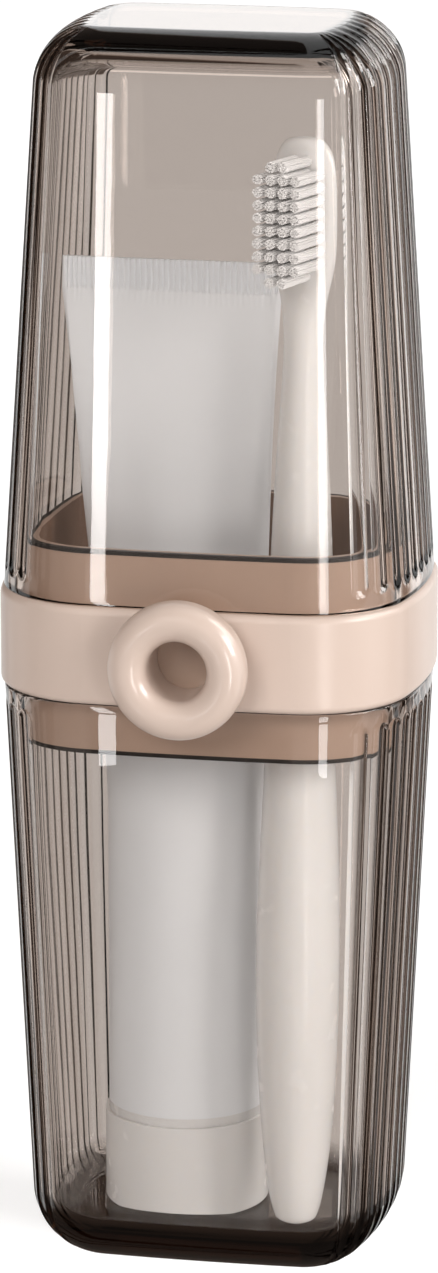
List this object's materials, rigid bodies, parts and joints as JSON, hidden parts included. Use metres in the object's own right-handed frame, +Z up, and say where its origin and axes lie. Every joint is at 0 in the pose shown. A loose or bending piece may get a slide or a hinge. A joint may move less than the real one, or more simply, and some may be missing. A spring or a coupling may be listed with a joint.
{
  "type": "toothbrush travel case",
  "caption": "Upright toothbrush travel case: smoky clear lid and cup with reeded narrow sides on a cream collar with a ring push button, holding a toothbrush and a toothpaste tube.",
  "frame": {"origin": "middle of the flat underside of the cup, where the case stands", "axes": "+Z up the case from cup to lid, -Y out of the front where the ring button is, +X to the right seen from the front"},
  "size_m": [0.0714, 0.0681, 0.21],
  "materials": {
    "smoky_clear": "polished clear smoky brown",
    "cream": "glossy moulded",
    "seal": "soft",
    "ring_cream": "polished",
    "clamp": "fine matt",
    "spring": "bare sheet",
    "brush_white": "glossy",
    "bristle": "fibres",
    "tube_laminate": "satin",
    "tube_plastic": "satin"
  },
  "bodies": {
    "cup": {"cup_shell": "smoky_clear"},
    "collar": {"collar_sleeve": "cream", "collar_band": "cream", "lid_seal": "seal", "cup_seal": "seal", "button_spring": "spring"},
    "lid": {"lid_shell": "smoky_clear"},
    "button": {"ring_button": "ring_cream", "clamp_plate": "clamp"},
    "toothbrush": {"toothbrush_handle": "brush_white", "toothbrush_tufts": "bristle"},
    "tube": {"tube_body": "tube_laminate", "tube_shoulder": "tube_plastic"},
    "cap": {"tube_cap": "tube_plastic"}
  },
  "joints": [
    {"name": "collar_pull", "type": "slide", "parent": "cup", "child": "collar", "axis": [0, 0, 1], "range_m": [0, 0.105]},
    {"name": "lid_lift", "type": "slide", "parent": "collar", "child": "lid", "axis": [0, 0, 1], "range_m": [0, 0.09]},
    {"name": "button_press", "type": "slide", "parent": "collar", "child": "button", "axis": [0, 1, 0], "range_m": [0, 0.001], "stiffness_N_per_m": 3000, "springref_m": -0.0007, "deforming": ["button_spring"]},
    {"name": "brush_lift", "type": "slide", "parent": "cup", "child": "toothbrush", "axis": [0, 0, 1], "range_m": [0, 0.006]},
    {"name": "tube_lift", "type": "slide", "parent": "cup", "child": "tube", "axis": [0, 0, 1], "range_m": [0, 0.006]},
    {"name": "cap_turn", "type": "hinge", "parent": "tube", "child": "cap", "pos_m": [-0.006, 0.002, 0.0066], "axis": [0, 0, -1], "range_deg": [0, 360]}
  ]
}
